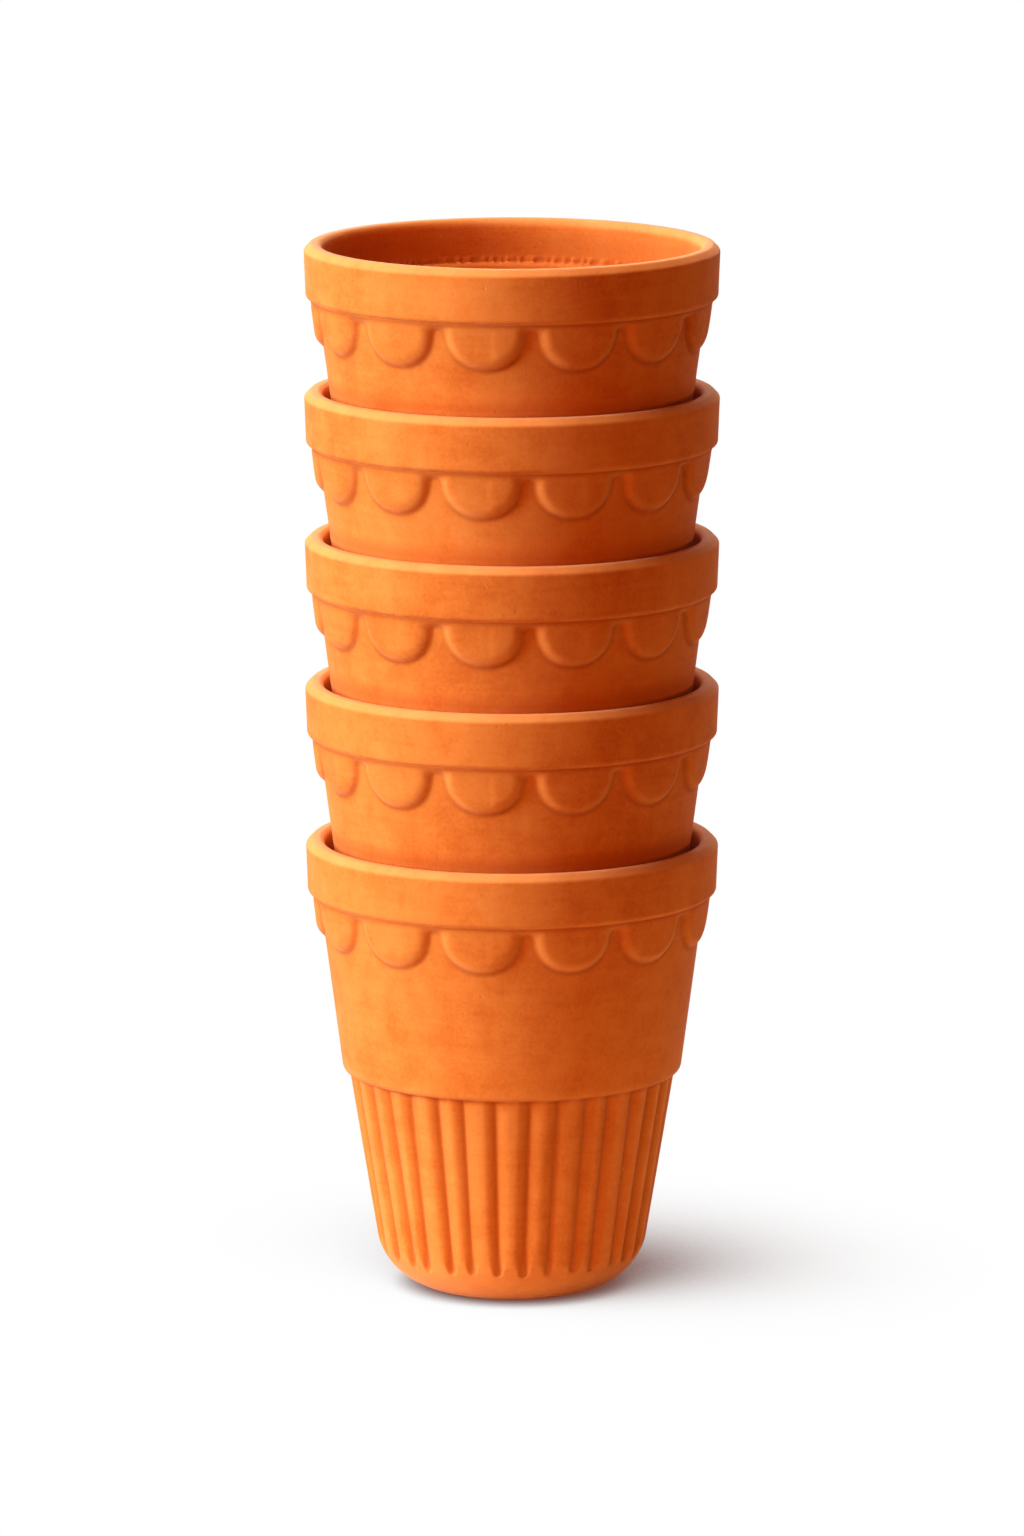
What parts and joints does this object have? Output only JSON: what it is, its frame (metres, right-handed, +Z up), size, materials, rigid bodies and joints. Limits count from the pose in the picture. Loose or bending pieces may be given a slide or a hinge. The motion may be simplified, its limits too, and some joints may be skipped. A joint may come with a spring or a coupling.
{
  "type": "nested stack of clay kulhad cups",
  "caption": "Nested stack of unglazed terracotta drinking cups, each with a rim band, a scalloped relief apron and a ribbed lower body. Every cup lifts out of the one below.",
  "frame": {"origin": "middle of the bottom cup's foot, on the surface that the stack stands on", "axes": "+Z up the stack, -Y towards the viewer of the picture, +X to that viewer's right"},
  "size_m": [0.0798, 0.0798, 0.2041],
  "materials": {
    "terracotta": "unglazed matt fired clay with soft wipe marks and fine pores"
  },
  "bodies": {
    "bottom": {"bottom_cup": "terracotta"},
    "second": {"second_cup": "terracotta"},
    "third": {"third_cup": "terracotta"},
    "fourth": {"fourth_cup": "terracotta"},
    "top": {"top_cup": "terracotta"}
  },
  "joints": [
    {"name": "second_cup_lift", "type": "slide", "parent": "bottom", "child": "second", "axis": [0, 0, 1], "range_m": [0, 0.06]},
    {"name": "third_cup_lift", "type": "slide", "parent": "second", "child": "third", "axis": [0, 0, 1], "range_m": [0, 0.062]},
    {"name": "fourth_cup_lift", "type": "slide", "parent": "third", "child": "fourth", "axis": [0, 0, 1], "range_m": [0, 0.062]},
    {"name": "top_cup_lift", "type": "slide", "parent": "fourth", "child": "top", "axis": [0, 0, 1], "range_m": [0, 0.062]}
  ]
}
